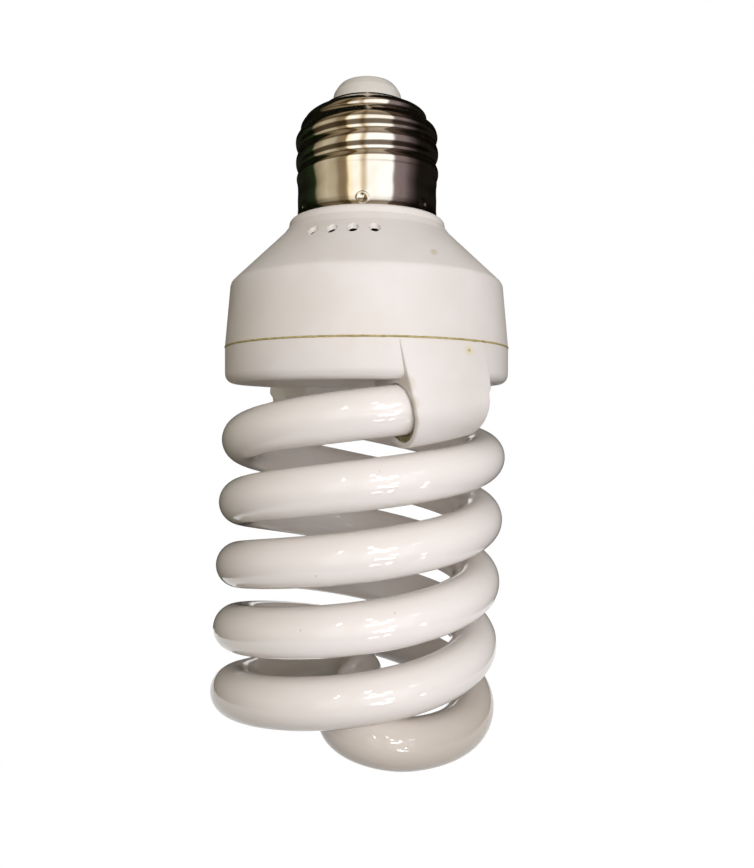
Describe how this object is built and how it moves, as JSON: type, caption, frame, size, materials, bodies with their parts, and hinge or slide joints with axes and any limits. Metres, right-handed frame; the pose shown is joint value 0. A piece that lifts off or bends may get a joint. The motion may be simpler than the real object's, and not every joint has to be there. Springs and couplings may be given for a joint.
{
  "type": "spiral energy saving bulb",
  "caption": "Compact fluorescent lamp with an opaque double-spiral tube, a two-part white ballast housing and a screw cap.",
  "frame": {"origin": "middle of the top face of the centre contact", "axes": "+Z along the cap's axis, away from the tube; the front of the picture faces -Y; +X to the right"},
  "size_m": [0.0549, 0.0545, 0.1191],
  "materials": {
    "contact_metal": "tinned metal",
    "insulator_plastic": "white moulded plastic",
    "nickel_plate": "bright nickel plate on brass",
    "white_housing": "white moulded plastic, slightly warm",
    "yellow_glue": "yellowed glue",
    "coated_glass": "glossy white, phosphor-coated glass",
    "cement": "olive-brown cement",
    "board_laminate": "paper laminate",
    "dark_sleeve": "dark plastic",
    "ferrite": "sintered ferrite",
    "bobbin_plastic": "moulded plastic",
    "copper_wire": "enamelled copper",
    "film_capacitor": "dipped epoxy",
    "resistor_body": "lacquered",
    "red_insulation": "insulated wire"
  },
  "bodies": {
    "root": {"centre_contact": "contact_metal", "cap_insulator": "insulator_plastic", "screw_shell": "nickel_plate", "ballast_cover": "white_housing", "seam_adhesive": "yellow_glue", "tube_holder": "white_housing", "spiral_tube": "coated_glass", "tube_cement": "cement", "circuit_board": "board_laminate", "bulk_capacitor": "dark_sleeve", "choke_core": "ferrite", "choke_bobbin": "bobbin_plastic", "choke_winding": "copper_wire", "drive_toroid": "ferrite", "drive_windings": "copper_wire", "switching_transistors": "dark_sleeve", "rectifier_diodes": "dark_sleeve", "resonant_capacitor": "film_capacitor", "coupling_capacitor": "film_capacitor", "fusible_resistor": "resistor_body", "line_choke_core": "ferrite", "line_choke_winding": "copper_wire", "start_diac": "resistor_body", "base_resistors": "resistor_body", "wrap_pins": "contact_metal", "filament_leads": "contact_metal", "live_lead": "red_insulation", "neutral_lead": "contact_metal"}
  },
  "joints": []
}
